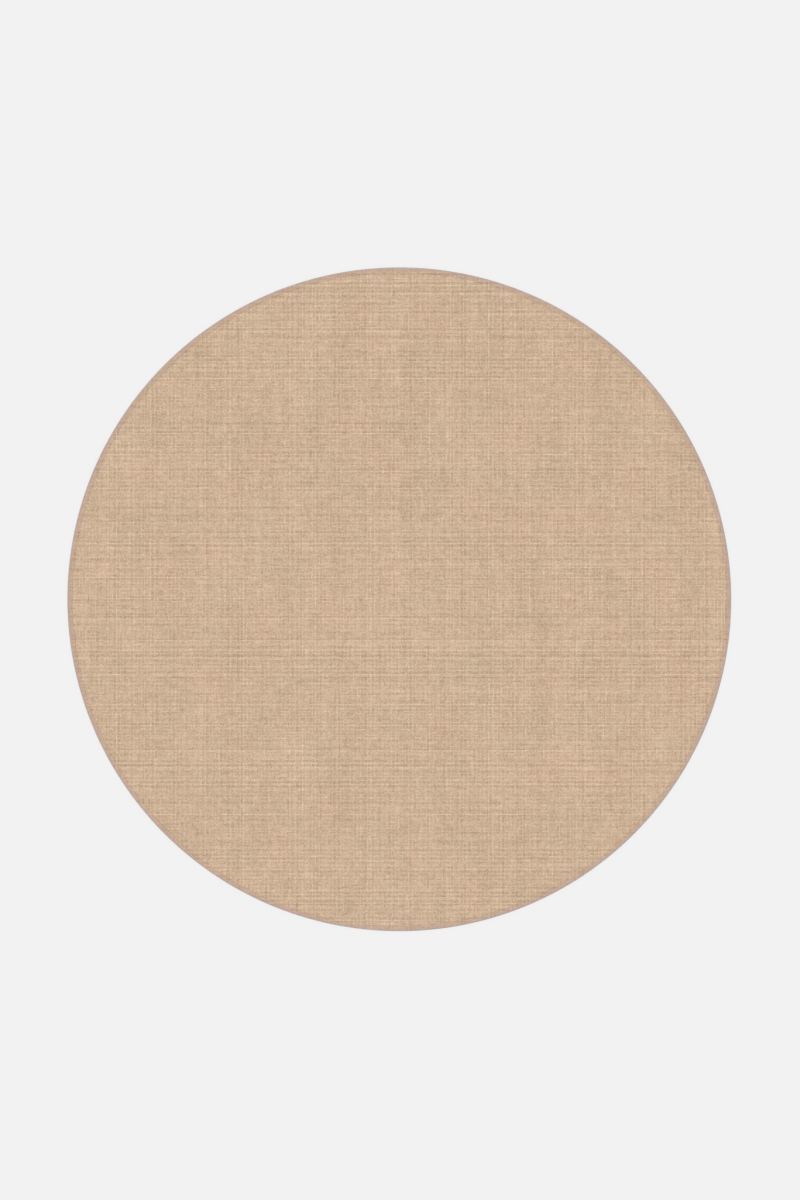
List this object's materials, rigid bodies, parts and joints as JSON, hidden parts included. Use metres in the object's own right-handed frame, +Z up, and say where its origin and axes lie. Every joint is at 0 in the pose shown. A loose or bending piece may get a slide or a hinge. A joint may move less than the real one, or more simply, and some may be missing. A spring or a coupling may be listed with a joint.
{
  "type": "round jute-look rug",
  "caption": "Round flat-woven floor rug in a natural jute look, its cut edge bound all round with a narrow folded tape.",
  "frame": {"origin": "centre of the underside, where the rug meets the floor", "axes": "+Z up out of the rug's face, +X along the weft yarns and +Y along the warp yarns"},
  "size_m": [2, 2, 0.0055],
  "materials": {
    "woven_cloth": "matte",
    "binding_tape": "matte",
    "sewing_thread": "matte"
  },
  "bodies": {
    "root": {"rug_cloth": "woven_cloth", "edge_tape": "binding_tape"}
  },
  "joints": []
}
